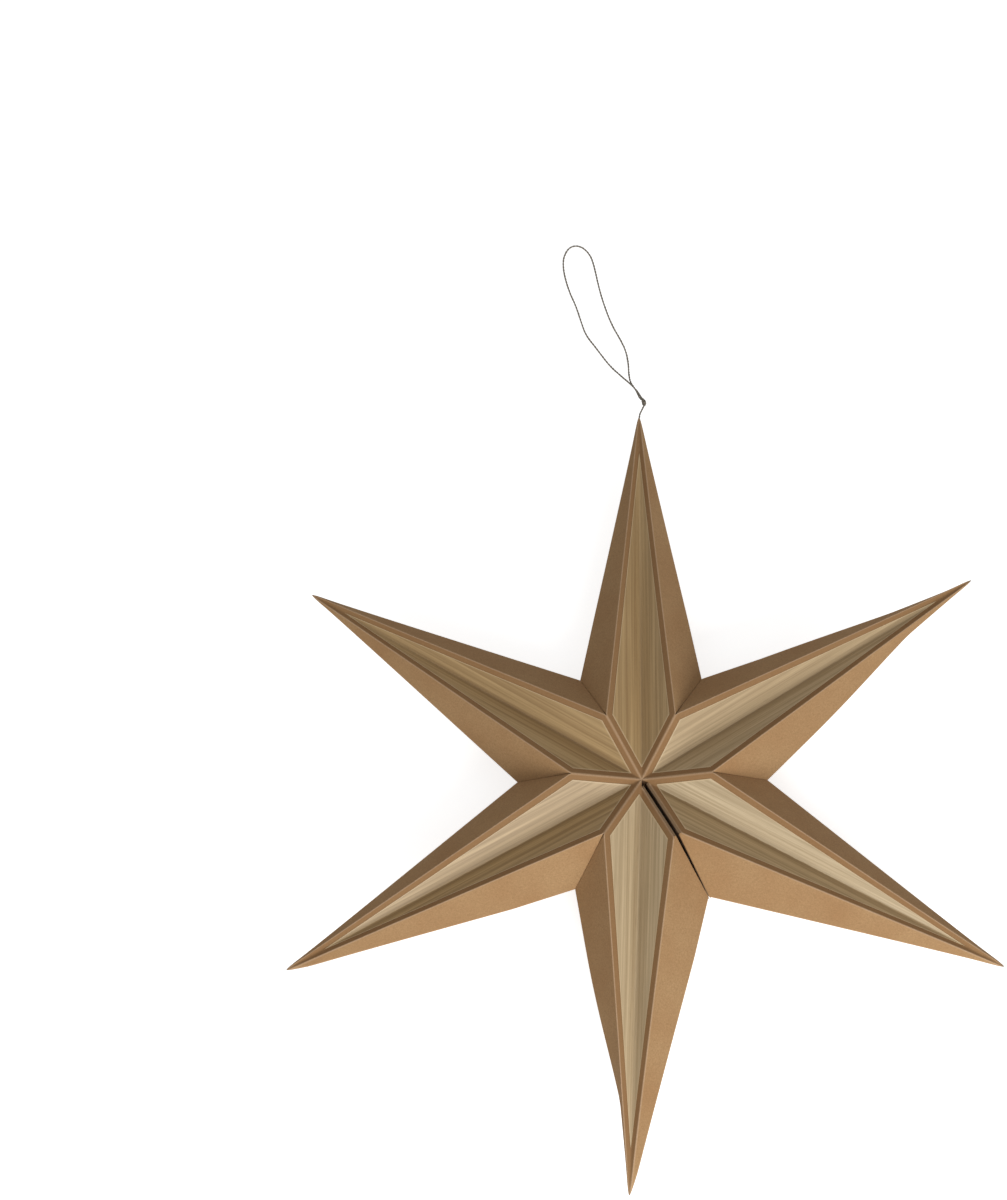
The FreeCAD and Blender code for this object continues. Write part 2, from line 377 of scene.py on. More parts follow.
class HalfArm:
    """One half of an arm above the middle plane, from its valley to its glued face."""

    def __init__(self, tip, edge_angle, edge_gap, habit):
        radius, angle = tip
        self.habit = habit
        self.edge_angle = edge_angle
        self.turn = 1 if edge_angle > angle else -1
        self.into = polar(1, edge_angle - 90 * self.turn, 0)
        step = self.into * edge_gap
        centre = polar(0, 0, CENTRE_HEIGHT)
        self.centre = centre
        self.tip = polar(radius, angle, 0)
        self.start = edge_gap / (self.into @ self.tip)
        self.inner = centre + (self.tip - centre) * self.start
        self.shoulder = polar(SHOULDER_RADIUS, edge_angle, SHOULDER_HEIGHT) + step
        self.notch = polar(NOTCH_RADIUS, edge_angle, 0)
        if edge_gap:
            self.notch = polar(SEAM_NOTCH_RADIUS, edge_angle, 0) + self.into * SEAM_NOTCH_SIDE
        self.panel = plane_through(centre, self.tip, self.shoulder)
        self.wall = plane_through(self.shoulder, self.notch, self.tip)
        self.valley = plane_through(centre, self.tip, self.tip - UP)
        self.edge = self.into, edge_gap
        ridge_normal = np.cross(UP, self.tip - self.shoulder)
        ridge_normal *= np.sign(ridge_normal @ self.shoulder) / np.linalg.norm(ridge_normal)
        low_border = self.shoulder - ridge_normal * BORDER
        tip_border = self.tip - ridge_normal * TIP_BORDER
        self.border = plane_through(low_border, tip_border, tip_border + UP)
        self.along = polar(1, angle, 0)
        self.aside = polar(1, angle + 90 * self.turn, 0)
        self.radius = radius
        self.fold_slope = self.notch @ self.aside / (radius - self.notch @ self.along)


fan_start = 90 - (TWINE_ARM - 0.5) * ARM_PITCH
seam = fan_start - (360 - ARM_COUNT * ARM_PITCH) / 2
arms = {}
for index, lean in enumerate(TIP_LEANS):
    start, end = fan_start + index * ARM_PITCH, fan_start + (index + 1) * ARM_PITCH
    tip = TIP_RADIUS - (FIRST_TIP_SHORT if index == 0 else 0), (start + end) / 2 + lean
    edges = [(start, 0), (end, 0)]
    if index == 0:
        edges[0] = seam, SEAM_SIDE
    if index == ARM_COUNT - 1:
        edges[1] = seam + 360, SEAM_SIDE
    habits = [HABITS.get((index + 1, side), STRAIGHT) for side in (0, 1)]
    arms[index + 1] = [HalfArm(tip, *edge, habit) for edge, habit in zip(edges, habits)]
for number, halves in arms.items():
    low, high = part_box(f"arm_{number}")
    outer = max(np.linalg.norm(low[:2]), np.linalg.norm(high[:2])) / MM
    print("arm", number, "tip at", halves[0].tip.round(1),
          "construction box reaches", round(outer, 1))

# %% [markdown]
# ## What hands do to a sheet
#
# A perfect cone would look like plastic. On the real star the bottom of a valley is a
# little rounded, the card has slow waves of about a tenth of a millimetre from its damp
# glue, and near a tip, where four layers lie on each other, the arm is thicker than its
# folds alone would make it. All three are worked out here from where a point lies on the
# star, so a facing and the card below it move together.

# %% Soft valleys, slow waves and thick tips
VALLEY_SOFTNESS = 0.5
SOFTNESS_FROM_CENTRE = 0.09
SOFTNESS_FROM_TIP = 0.017
# Each wave has a length, a heading in radians and a swing.
WAVES = [(38.0, 0.4, 0.10), (61.0, 1.9, 0.12), (27.0, 2.8, 0.05), (83.0, 3.9, 0.12)]
WAVE_SHIFT = 5
CALM_TOP = 7.0
TIP_THICKENING = 0.6
THICKENING_REACH = 28.0
TIP_POINT = 2.0
MARKS_SHARE = 0.8
TINY = 1e-6


def valley_height(x, half):
    """Height of the valley's bottom, above the middle plane, at a distance along the arm."""
    return CENTRE_HEIGHT * (1 - x / half.radius)


def rim_height(x, half):
    """Height of the panel's outer boundary above the valley, at a distance along the arm."""
    shoulder_x = half.shoulder @ half.along
    over_edge = CENTRE_HEIGHT + (SHOULDER_HEIGHT - CENTRE_HEIGHT) * x / shoulder_x
    over_ridge = SHOULDER_HEIGHT * (half.radius - x) / (half.radius - shoulder_x)
    rim = np.where(x < shoulder_x, over_edge, over_ridge)
    return np.maximum(rim - valley_height(x, half), TINY)


def softened(points, half, on_panel):
    """Lifts the panel's points near the valley, so that it turns there in a curve."""
    points = points.copy()
    x = points @ half.along
    above = np.maximum(points[..., 2] - valley_height(x, half), 0)
    rim = rim_height(x, half)
    ends = np.minimum(SOFTNESS_FROM_CENTRE * x, SOFTNESS_FROM_TIP * (half.radius - x))
    soft = np.clip(ends, 0, VALLEY_SOFTNESS)
    lift = (np.sqrt(above ** 2 + soft ** 2) - above) * np.clip(1 - above / rim, 0, 1)
    points[..., 2] += lift * on_panel
    return points


def waved(points):
    """Slow waves in the height of the card, still at the middle plane and at the shoulders."""
    points = points.copy()
    height = np.abs(points[..., 2])
    below_top = np.clip((SHOULDER_HEIGHT - height) / CALM_TOP, 0, 1)
    high = np.clip(height / CENTRE_HEIGHT, 0, 1) * below_top
    for length, heading, swing in WAVES:
        run = points[..., 0] * math.cos(heading) + points[..., 1] * math.sin(heading)
        points[..., 2] += swing * high * np.sin(2 * math.pi * run / length + WAVE_SHIFT * heading)
    return points


def thickened(points, half):
    """Pushes points out from the arm's axis, more and more towards the tip but not at it."""
    along = points @ half.along
    out = points - half.along * along[..., None]
    to_tip = np.maximum(half.radius - along, 0)
    grow = TIP_THICKENING * np.exp(-to_tip / THICKENING_REACH) * (1 - np.exp(-to_tip / TIP_POINT))
    return points + out * (grow / np.maximum(np.linalg.norm(out, axis=-1), TINY))[..., None]


def stations(length, start_marks, end_marks, between):
    """Distances along a stretch: close together at its ends, and even in the middle."""
    start_marks, end_marks = np.array(start_marks, float), np.array(end_marks, float)
    squeeze = min(1.0, MARKS_SHARE * length / (start_marks[-1] + end_marks[-1]))
    first, last = start_marks * squeeze, length - end_marks[::-1] * squeeze
    return np.concatenate([first, np.linspace(first[-1], last[0], between + 2)[1:-1], last])


# %% [markdown]
# ## Rounded folds
#
# Scored card folds to a radius of about its own thickness or two, enough to catch a thin
# line of light on every ridge. We could bevel a sharp mesh, but a bevel collapses where
# many folds meet in a point. So each row of the cone is a line with its corners rounded
# in place, and the rounding shrinks by itself towards the tip. Each point also stores how
# far it is from the nearest fold, for the pale line that the card's finish draws there,
# part wear and part painted highlight.

# %% Rounded folds
FOLD_RADIUS = 0.75
CORNER_SHARE = 0.2
CORNER_STEPS = (0.25, 0.5, 0.75)
FOLD_MARKS = (0.0, 0.35, 0.9)
VALLEY_MARKS = (0.0, 0.4, 0.9, 1.6, 2.6, 4.0)
POINTS_BETWEEN = 5
FRONT_PANEL, BACK_PANEL = 0, 3
HALF_WAY = 0.5


def rounded_line(corners, radius):
    """A line through corners with the inner ones rounded: its points, their distance from
    the nearest fold, and which stretch each is on, half-way between two in a corner."""
    lengths = np.linalg.norm(np.diff(corners, axis=0), axis=1)
    cut = min(radius, CORNER_SHARE * lengths.min())
    points, away, stretch = [], [], []
    for i, length in enumerate(lengths):
        heading = (corners[i + 1] - corners[i]) / length
        first, last = i == 0, i == len(lengths) - 1
        from_start = VALLEY_MARKS if first else np.add(FOLD_MARKS, cut)
        from_end = VALLEY_MARKS if last else np.add(FOLD_MARKS, cut)
        for d in stations(length, from_start, from_end, POINTS_BETWEEN):
            points.append(corners[i] + heading * d)
            away.append(min(length if first else d, length if last else length - d))
            stretch.append(i)
        if not last:
            after = (corners[i + 2] - corners[i + 1]) / lengths[i + 1]
            for u in CORNER_STEPS:
                points.append(corners[i + 1] - heading * cut * (1 - u) ** 2 + after * cut * u ** 2)
                away.append(0)
                stretch.append(i + HALF_WAY)
    return np.array(points), np.array(away), np.array(stretch)


def mirrored(points):
    """Points on the other side of the star's middle plane."""
    return points * (1, 1, -1)


# %% [markdown]
# ## Low folds and glued edges
#
# Hands bend the low folds too. Towards the tip some turn in under their ridge and others
# stand out, by each half's habit, and their ridges stay where they are. Where two arms are
# glued together, a panel turns over the edge in a small round, and a wall meets its
# neighbour in a crisp corner. Both come together at the crest.

# %% Low folds and glued edges
PINCH_FROM = 0.40
PINCH_OVER = 0.38
PINCH_GROWTH = 2.6
STAND_OUT_FROM = 0.28
STAND_OUT_OVER = 0.15
STAND_OUT_END = 0.06
EDGE_RADIUS = 0.55
GLUED_EDGE_RADIUS = 0.08
SEAM_EDGE_RADIUS = 0.3
LEAST_RADIUS = 1e-4
CREST_END = 2.0
VALLEY_END = 3.0


def bent(line, half, ridge_height, on_wall):
    """Moves a wall's low fold sideways by the half's habit, and its ridge not at all."""
    pinch, stand_out = half.habit
    along = line @ half.along / half.radius
    width = half.fold_slope * half.radius * (1 - along)
    inward = pinch * np.clip((along - PINCH_FROM) / PINCH_OVER, 0, 1) ** PINCH_GROWTH * width
    outward = stand_out * np.clip((along - STAND_OUT_FROM) / STAND_OUT_OVER, 0, 1)
    outward *= np.clip((1 - along) / STAND_OUT_END, 0, 1)
    low = on_wall * (1 - np.clip(np.abs(line[:, 2]) / ridge_height, 0, 1))
    return line + half.aside * (low * (outward - inward))[:, None]


def edge_radii(line, corners, half, on_panel):
    """Radius at which each point of a line turns over the arm's glued edge."""
    on_wall = SEAM_EDGE_RADIUS if half.edge[1] else GLUED_EDGE_RADIUS
    radius = np.where(on_panel, EDGE_RADIUS, on_wall)
    for shoulder in (corners[1], corners[3]):
        near = np.exp(-(np.linalg.norm(line - shoulder, axis=1) / CREST_END) ** 2)
        radius = radius + np.where(on_panel, 0, (EDGE_RADIUS - radius) * near)
    from_valley = np.minimum(np.linalg.norm(line - corners[0], axis=1),
                             np.linalg.norm(line - corners[-1], axis=1))
    return np.maximum(radius * np.clip(from_valley / VALLEY_END, 0, 1), LEAST_RADIUS)


# %% [markdown]
# ## Half an arm
#
# A half is made row by row, from its glued edge to its tip. Each row is the edge's outline
# drawn closer to the tip, from the front valley over the low fold to the back valley. Then
# the edge is rounded off, the low fold bent, and the back worked like the front by turning
# it over and back.

# %% Half an arm
ROUNDING_SLACK = 1e-9


def half_shell(half, valley_rows):
    """Half an arm's outside, front valley to back valley: rows of points, their distance
    from a fold, and which of them are on a panel, where the facing is glued."""
    length = np.linalg.norm(half.tip - half.centre)
    own_start = half.start * length
    rows, aways, panels = [], [], []
    outline = np.array([half.inner, half.shoulder, half.notch,
                        mirrored(half.shoulder), mirrored(half.inner)])
    for at in valley_rows[valley_rows >= own_start - ROUNDING_SLACK]:
        t = (at - own_start) / (length - own_start)
        corners = outline + (half.tip - outline) * t
        line, away, stretch = rounded_line(corners, FOLD_RADIUS)
        on_panel = (stretch <= FRONT_PANEL + HALF_WAY) | (stretch >= BACK_PANEL - HALF_WAY)
        core = corners.mean(axis=0)
        tangent = np.gradient(line, axis=0)
        normal = np.cross(tangent, half.tip - line)
        normal /= np.linalg.norm(normal, axis=1)[:, None]
        normal *= np.sign(((line - core) * normal).sum(axis=1))[:, None]
        from_edge = t * (half.into @ half.tip - half.edge[1])
        radius = edge_radii(line, corners, half, on_panel)
        deep = np.clip(radius - from_edge, 0, radius)
        line = line - normal * (radius - np.sqrt(radius ** 2 - deep ** 2))[:, None]
        line = bent(line, half, corners[1][2], ~on_panel)
        side = np.where(line[:, 2:] < 0, (1, 1, -1), (1, 1, 1))
        line = thickened(waved(softened(line * side, half, on_panel)), half) * side
        rows.append(line)
        aways.append(np.where(on_panel, np.minimum(away, from_edge), away))
        panels.append(on_panel)
    return np.array(rows), np.array(aways), np.array(panels)


# %% [markdown]
# ## The lap at the seam
#
# The two halves at the seam have one thing more. Between the crest and the notch their card
# is turned down over a board, as a narrow lap that lies beside the gap and hides the board's
# edge. It is a ring of six points, moved along the wall and closed at both ends.

# %% Seam lap
LAP_RINGS = 9
LAP_TUCK = 0.6
LAP_TUCK_OVER = 0.1
LAP_GAP = (0.9, 0.3)
LAP_DEPTH = (2.6, 0.2)
LAP_ROUNDING = 0.35
LAP_SUNK = 0.05
ARC_MIDDLE = 0.3


def seam_lap(half):
    """Card turned down over the seam board's edge, front and back: points and faces."""
    outward = polar(1, half.edge_angle, 0)
    rings = []
    for share in np.linspace(0, 1, LAP_RINGS):
        fold = half.shoulder + (half.notch - half.shoulder) * share
        gap = np.interp(share, (0, 1), LAP_GAP)
        depth = np.interp(share, (0, 1), LAP_DEPTH)
        rounding = min(LAP_ROUNDING, depth / 2)
        tuck = fold @ half.into + LAP_TUCK * min(1, share / LAP_TUCK_OVER)
        profile = [(tuck, LAP_SUNK), (gap + rounding, LAP_SUNK),
                   (gap + ARC_MIDDLE * rounding, ARC_MIDDLE * rounding),
                   (gap, rounding), (gap, depth), (tuck, depth)]
        level = outward, fold @ outward
        rings.append([meet(half.wall, (half.into, aside), level) - UP * deep
                      for aside, deep in profile])
    rings = np.array(rings)
    count, columns = rings.shape[:2]
    front = rings.reshape(-1, 3)
    faces = grid_faces(count, columns, closed=True)
    faces += [tuple(range(columns)), tuple(range(len(front) - columns, len(front)))]
    faces += [tuple(i + len(front) for i in face) for face in faces]
    return np.concatenate([front, mirrored(front)]), faces


# %% [markdown]
# ## Six kraft arms
#
# Both halves of an arm have their rows at the same distances along the valley, so welding
# closes the card there. Rows lie close together at the glued edges and at the tip, where
# the shape turns fast. The two arms at the seam have one half that starts later, and a strip
# of faces closes what is left. Some tips are grey from handling, which the points store too.

# %% Kraft arms
EDGE_ROWS = (0.0, 0.12, 0.5, 1.1, 1.8, 3.4, 6.5)
TIP_ROWS = (0.6, 2.0, 4.5, 9.0)
ROWS_BETWEEN = 30
SOILED_TIPS = {1: 0.7, 2: 0.8, 5: 0.4, 6: 0.4}
SOILED_REACH = 3.0


def kraft_arm(number, halves):
    """Closed outside of one arm."""
    length = np.linalg.norm(halves[0].tip - halves[0].centre)
    slant = length / (halves[1].into @ halves[1].tip)
    starts = sorted({half.start * length for half in halves})
    marks = np.concatenate([start + np.array(EDGE_ROWS) * slant for start in starts])
    rest = np.linspace(marks.max(), length - TIP_ROWS[-1], ROWS_BETWEEN)[1:]
    valley_rows = np.concatenate([np.sort(marks), rest, length - np.array(TIP_ROWS)[-2::-1]])
    points, faces, away, glued = [], [], [], []
    for half in halves:
        rows, aways, panels = half_shell(half, valley_rows)
        first = sum(map(len, points))
        count, columns = rows.shape[:2]
        last_row = first + (count - 1) * columns
        faces += grid_faces(count, columns, first)
        faces += [tuple(range(first, first + columns)), tuple(range(last_row, last_row + columns))]
        points.append(rows.reshape(-1, 3))
        away.append(aways.ravel())
        glued.append(panels.ravel())
        if half.edge[1]:
            lap, lap_faces = seam_lap(half)
            faces += [tuple(i + last_row + columns for i in face) for face in lap_faces]
            points.append(lap)
            away.append(np.full(len(lap), CENTRE_HEIGHT))
            glued.append(np.zeros(len(lap)))
        if len(starts) == 2 and count == len(valley_rows):
            extra = int((valley_rows < starts[1] - ROUNDING_SLACK).sum())
            strip = range(first, first + extra * columns + 1, columns)
            faces += [(a, b, b + columns - 1, a + columns - 1) for a, b in zip(strip, strip[1:])]
    points = np.concatenate(points) + UP * MIDDLE
    from_tip = halves[0].radius - points @ halves[0].along
    soil = SOILED_TIPS.get(number, 0) * np.clip(1 - from_tip / SOILED_REACH, 0, 1)
    values = {"fold": np.concatenate(away) * MM, "soil": soil, "glued": np.concatenate(glued)}
    return make_piece(f"kraft_arm_{number}", [f"arm_{number}"], points, faces, values)


kraft_arms = [kraft_arm(number, halves) for number, halves in arms.items()]

# %% [markdown]
# ## Half a facing
#
# Each facing is one kite of veneer, folded along the valley with its grain running down
# the arm. It stops a few millimetres short of the ridges, so a border of bare card frames
# it, and the border narrows a little towards the tip. Half of it lies on one panel. Its
# rows run from the border at the glued edge to the point that both halves share.

# %% Half a facing
RIM_MARKS = (0.0, 0.3, 0.7, 1.5)
POINT_MARKS = (0.05, 0.4, 1.5, 4.0)
FACING_ROWS = 34
FACING_COLUMNS = 7
SAME_PLACE = 0.01


def facing_half(half, other, point):
    """Rows of points of half a facing, on the card, and how far each is from the rim."""
    edge_in = half.edge[0], half.edge[1] + BORDER
    other_in = other.edge[0], other.edge[1] + BORDER
    own, far = meet(half.panel, half.valley, edge_in), meet(half.panel, half.valley, other_in)
    side = meet(half.panel, edge_in, half.border)
    base = [own, side]
    if far @ half.along > own @ half.along + SAME_PLACE:
        base = [far, meet(half.panel, edge_in, other_in), side]
    base = np.array(base)
    height = np.linalg.norm(point - base[0])
    rows = []
    for at in stations(height, RIM_MARKS, POINT_MARKS, FACING_ROWS):
        line = base + (point - base) * (at / height)
        runs = np.linalg.norm(np.diff(line, axis=0), axis=1)
        along = np.concatenate([[0], np.cumsum(runs)])
        places = stations(along[-1], VALLEY_MARKS, RIM_MARKS, FACING_COLUMNS)
        rows.append([[np.interp(d, along, line[:, k]) for k in range(3)] for d in places])
    rows = np.array(rows)
    from_border = np.linalg.norm(rows - rows[:, -1:], axis=2)
    from_base = (rows - base[-1]) @ half.edge[0]
    return rows, np.maximum(np.minimum(from_border, from_base), 0)


# %% [markdown]
# ## Twelve veneer facings
#
# A facing's knife-cut edge shows as a fine pale line, so it needs real thickness. Its mesh
# is a thin closed slab: a top grid, the same grid just above the card, and a rim between
# them. The points carry their place on the flat sheet, so that the grain bends over the
# fold as real grain does. No two sheets match in tone. Each half also has two numbers of its
# own: its paleness, part the sheet's tone and part painted light, paler on the half that
# faces the key light; and the painted shade along its valley, deeper on the half that faces
# away from the light.

# %% Veneer facings
LIFT = 0.06
# Paleness of each half: part the sheet's own tone, part painted light, higher on the half that faces
# the key light.
TONE_AND_PAINTED_LIGHT = {1: (0.3, 1.0), 2: (0.55, 0.45), 3: (0.1, 0.0), 4: (0.0, 0.0), 5: (0.35, 0.0),
            6: (0.75, 0.75)}
# Painted shade along each half's valley: stronger on the half that faces away from the key light,
# fading towards the tip.
CREASE_SHADE_BY_SIDE = {1: (1.0, 0.1), 2: (1.0, 0.2), 3: (0.5, 0.3), 4: (0.3, 1.0), 5: (0.2, 1.0),
            6: (0.2, 0.5)}
CREASE_FADE_FROM = 90.0
CREASE_FADE_OVER = 110.0
CREASE_LEAST = 0.25
NEXT_SHEET = 37.0
BACK_SHEETS = 500


def veneer_facing(face, number, halves):
    """A folded kite of veneer on the front or the back face of an arm."""
    back = face == "back"
    points, faces, rims, places, tones_and_painted_light, crease_shade_strengths = [], [], [], [], [], []
    far_points = [meet(half.panel, half.valley, half.border) for half in halves]
    point = min(far_points, key=np.linalg.norm)
    for side, half in enumerate(halves):
        rows, rim = facing_half(half, halves[1 - side], point)
        count, columns = rows.shape[:2]
        across = np.linalg.norm(rows - rows[:, :1], axis=2)
        along = rows @ half.along
        sheet = np.full_like(along, NEXT_SHEET * number + BACK_SHEETS * back)
        place = np.stack([along, across * half.turn, sheet], axis=2)
        fade = np.clip(1 - (along - CREASE_FADE_FROM) / CREASE_FADE_OVER, CREASE_LEAST, 1)
        on_card = thickened(waved(softened(rows, half, 1.0)), half)
        top = sum(map(len, points))
        low = top + rim.size
        for first, lift in ((top, VENEER), (low, LIFT)):
            faces += grid_faces(count, columns, first)
            points.append((on_card + UP * lift).reshape(-1, 3))
            rims.append(rim.ravel())
            places.append(place.reshape(-1, 3))
            tones_and_painted_light.append(np.full(rim.size, TONE_AND_PAINTED_LIGHT[number][side]))
            crease_shade_strengths.append(CREASE_SHADE_BY_SIDE[number][side] * fade.ravel())
        border = range(columns - 1, rim.size, columns)
        base = range(columns)
        last = range(rim.size - columns, rim.size)
        for path in (border, base, last):
            faces += [(top + a, top + b, low + b, low + a) for a, b in zip(path, path[1:])]
    points = np.concatenate(points)
    if back:
        points = mirrored(points)
    values = {"rim": np.concatenate(rims) * MM, "grain": np.concatenate(places) * MM,
              "pale": np.concatenate(tones_and_painted_light), "crease": np.concatenate(crease_shade_strengths)}
    return make_piece(f"{face}_veneer_{number}", [f"{face}_facing_{number}"],
                      points + UP * MIDDLE, faces, values)


facings = [veneer_facing(face, number, halves)
           for number, halves in arms.items() for face in ("front", "back")]

# %% [markdown]
# ## The boards at the seam
#
# The star is a fan that closes at a seam, and a greyboard inside each end of the fan makes
# it firm. The board's edge shows beside the gap from the middle of the star to the crest.
# Beyond the crest the lap of the card covers it, and there the two boards lean together
# until they touch at the notch, so that the gap narrows and lets no light through.

# %% Seam boards
BOARD_FACE = SEAM_GAP / 2
BOARD_CLEARANCE = 0.02
BOARD_BACK = SEAM_SIDE - BOARD_CLEARANCE
BOARD_UNDER_LAP = 3.3
BOARD_PAST_CREST = 0.5
BOARD_SHORT_OF_NOTCH = 0.5
BOARD_TOUCH = 0.04
BOARD_MIDDLE = np.array((38.0, 0.0))
BOARD_FLAT_SHARE = 0.82


def seam_board(side, half):
    """Closed board on one side of the seam, whose outer corner leans towards the other."""
    centre = np.array((half.inner @ polar(1, half.edge_angle, 0), half.inner[2]))
    crest = np.array((SHOULDER_RADIUS, SHOULDER_HEIGHT))
    corner = np.array((SEAM_NOTCH_RADIUS, 0.0))
    heading = (corner - crest) / np.linalg.norm(corner - crest)
    below = np.array((heading[1], -heading[0])) * BOARD_UNDER_LAP
    front = [centre, crest, crest + heading * BOARD_PAST_CREST + below]
    end = corner + np.array((BOARD_SHORT_OF_NOTCH / heading[1], 0.0))
    outline = np.array([*front, end, *[point * (1, -1) for point in front[::-1]]])
    lean = np.clip((outline[:, 0] - crest[0]) / (end[0] - crest[0]), 0, 1)
    flat = BOARD_MIDDLE + (outline - BOARD_MIDDLE) * BOARD_FLAT_SHARE
    even = np.ones(len(outline))
    rings = [(outline, BOARD_BACK * even),
             (outline, BOARD_FACE + (BOARD_TOUCH - BOARD_FACE) * lean),
             (flat, BOARD_FACE * even)]
    points = [polar(radius, half.edge_angle, height) + half.into * gap + UP * MIDDLE
              for ring, gaps in rings for (radius, height), gap in zip(ring, gaps)]
    count = len(outline)
    faces = grid_faces(len(rings), count, closed=True)
    faces += [tuple(range(count)), tuple(range(2 * count, 3 * count))]
    return make_piece(f"seam_board_{side}", [f"end_board_{side}"], points, faces)


seam_boards = [seam_board(1, arms[1][0]), seam_board(2, arms[ARM_COUNT][1])]

# %% [markdown]
# ## One helper for materials
#
# Colours are written as sRGB hex, as a colour picker shows them, and turned to the linear
# values that the renderer works in. A pattern's scale comes from a real size: a noise
# whose scale is 1000 divided by a size in millimetres repeats about once in that size,
# because the mesh is in metres.
#
# A finish is a chain of nodes, and one function adds each of them. A node that is given as
# an input stands for its first output in use, so a chain reads like a recipe. Most of the
# recipes lay one colour after another over a base, each as strong as a pattern says.

# %% Material helpers


def colour(code):
    """Linear colour from an sRGB hex code."""
    parts = [int(code[i:i + 2], 16) / 255 for i in (1, 3, 5)]
    return (*(p / 12.92 if p <= 0.04045 else ((p + 0.055) / 1.055) ** 2.4 for p in parts), 1.0)


def per_metre(millimetres):
    """Scale at which a pattern repeats about once in a size."""
    return 1000.0 / millimetres


def add(tree, kind, inputs=None, **settings):
    """Adds a node with its settings, and fills its inputs with values, sockets or nodes.

    An input goes by its name, or by its number where several in use share a name.
    """
    node = tree.nodes.new("ShaderNode" + kind)
    for name, value in settings.items():
        setattr(node, name, value)
    in_use = {socket.name: socket for socket in node.inputs if socket.enabled}
    for name, value in (inputs or {}).items():
        target = node.inputs[name] if isinstance(name, int) else in_use[name]
        if isinstance(value, bpy.types.Node):
            value = next(socket for socket in value.outputs if socket.enabled)
        if isinstance(value, bpy.types.NodeSocket):
            tree.links.new(value, target)
        else:
            target.default_value = value
    return node


def new_material(name):
    """Material whose node tree is empty, and that tree."""
    material = bpy.data.materials.new(name)
    material.use_nodes = True
    material.node_tree.nodes.clear()
    return material, material.node_tree


# %% [markdown]
# ## Kraft card
#
# Kraft card is unbleached pulp: long brown fibres pressed into a sheet. To the eye it is a
# warm, matt tan that is slightly cloudy where the pulp lies thicker, flecked with darker
# fibres, and drawn pale along each fold, part wear where the surface fibres have broken and
# part painted highlight on the crest. The border beside a facing is drawn a darker, redder
# brown than the walls.

# %% Kraft card
CLOUD = 32.0
FLECK = 0.9
FIBRE_GRAIN = 0.35
FLECKING = 0.6
FOLD_LINE_WIDTH = 1.0 * MM
BORDER_DARKENING = 0.6

kraft, tree = new_material("kraft_card_folded")
place = add(tree, "TexCoord").outputs["Object"]
cloud = add(tree, "TexNoise", {"Vector": place, "Scale": per_metre(CLOUD), "Detail": 3.0})
fleck = add(tree, "TexNoise", {"Vector": place, "Scale": per_metre(FLECK), "Detail": 4.0,
                               "Roughness": 0.65, "Distortion": 0.8})
grain = add(tree, "TexNoise", {"Vector": place, "Scale": per_metre(FIBRE_GRAIN), "Detail": 2.0})
cloudy = add(tree, "MapRange", {"Value": cloud, "From Min": 0.3, "From Max": 0.7})
glued = add(tree, "Attribute", attribute_name="glued").outputs["Fac"]
# The border beside a facing is drawn darker and redder than the walls.
darker_border = add(tree, "Math", {0: glued, 1: BORDER_DARKENING}, operation="MULTIPLY")
fibrous = add(tree, "MapRange", {"Value": fleck, "From Min": 0.35, "From Max": 0.72,
                                 "To Min": 0.0, "To Max": FLECKING})
fold = add(tree, "Attribute", attribute_name="fold").outputs["Fac"]
# The pale line along each fold is part wear and part painted highlight on the crest.
fold_wear_and_highlight = add(tree, "MapRange", {"Value": fold, "From Min": 0.0, "From Max": FOLD_LINE_WIDTH,
                              "To Min": 1.0, "To Max": 0.0})
painted_highlight_and_scuff = add(tree, "Math", {0: fold_wear_and_highlight, 1: fleck}, operation="MULTIPLY")
soiled = add(tree, "Attribute", attribute_name="soil").outputs["Fac"]
card = colour("#ae8559")
for strength, code in ((cloudy, "#b99468"), (darker_border, "#8f6840"), (fibrous, "#8d6a43"),
                       (painted_highlight_and_scuff, "#e0bf9c"), (soiled, "#3d3831")):
    card = add(tree, "Mix", {"Factor": strength, "A": card, "B": colour(code)}, data_type="RGBA")
bump = add(tree, "Bump", {"Height": grain, "Strength": 0.25, "Distance": 0.04 * MM})
skin = add(tree, "BsdfPrincipled", {"Base Color": card, "Roughness": 0.86, "IOR": 1.5,
                                    "Normal": bump})
add(tree, "OutputMaterial", {"Surface": skin})
for arm in kraft_arms:
    arm.data.materials.append(kraft)
print("kraft card on", len(kraft_arms), "arms")

# %% [markdown]
# ## Wood veneer: the grain
#
# The facings are a pale, straight-grained veneer, sliced so thin that it folds. Sliced wood
# shows bands of early and late growth a few millimetres wide, darker streaks in them, and
# fine dark pores drawn out along the grain. A wood photograph would do for one facing, but
# here each gets its own piece of one noise. It is long in the grain's direction, which
# runs along the place that the points store.

# %% Wood grain
BAND = (160.0, 3.2)
STREAK = (55.0, 0.9)
PORE = (9.0, 0.28)
BETWEEN_SHEETS = 20.0
STREAKING = 0.38
PORES = 0.35

veneer, tree = new_material("wood_veneer_sanded")
place = add(tree, "Attribute", attribute_name="grain").outputs["Vector"]


def drawn_out(tree, place, size, detail):
    """Noise that is long in the grain's direction and narrow across it."""
    scale = [per_metre(length) for length in (*size, BETWEEN_SHEETS)]
    stretched = add(tree, "Mapping", {"Vector": place, "Scale": scale})
    return add(tree, "TexNoise", {"Vector": stretched, "Scale": 1.0, "Detail": detail,
                                  "Roughness": 0.6})


band = drawn_out(tree, place, BAND, 2.0)
streak = drawn_out(tree, place, STREAK, 3.0)
pore = drawn_out(tree, place, PORE, 2.0)
growth = add(tree, "MapRange", {"Value": band, "From Min": 0.34, "From Max": 0.66})
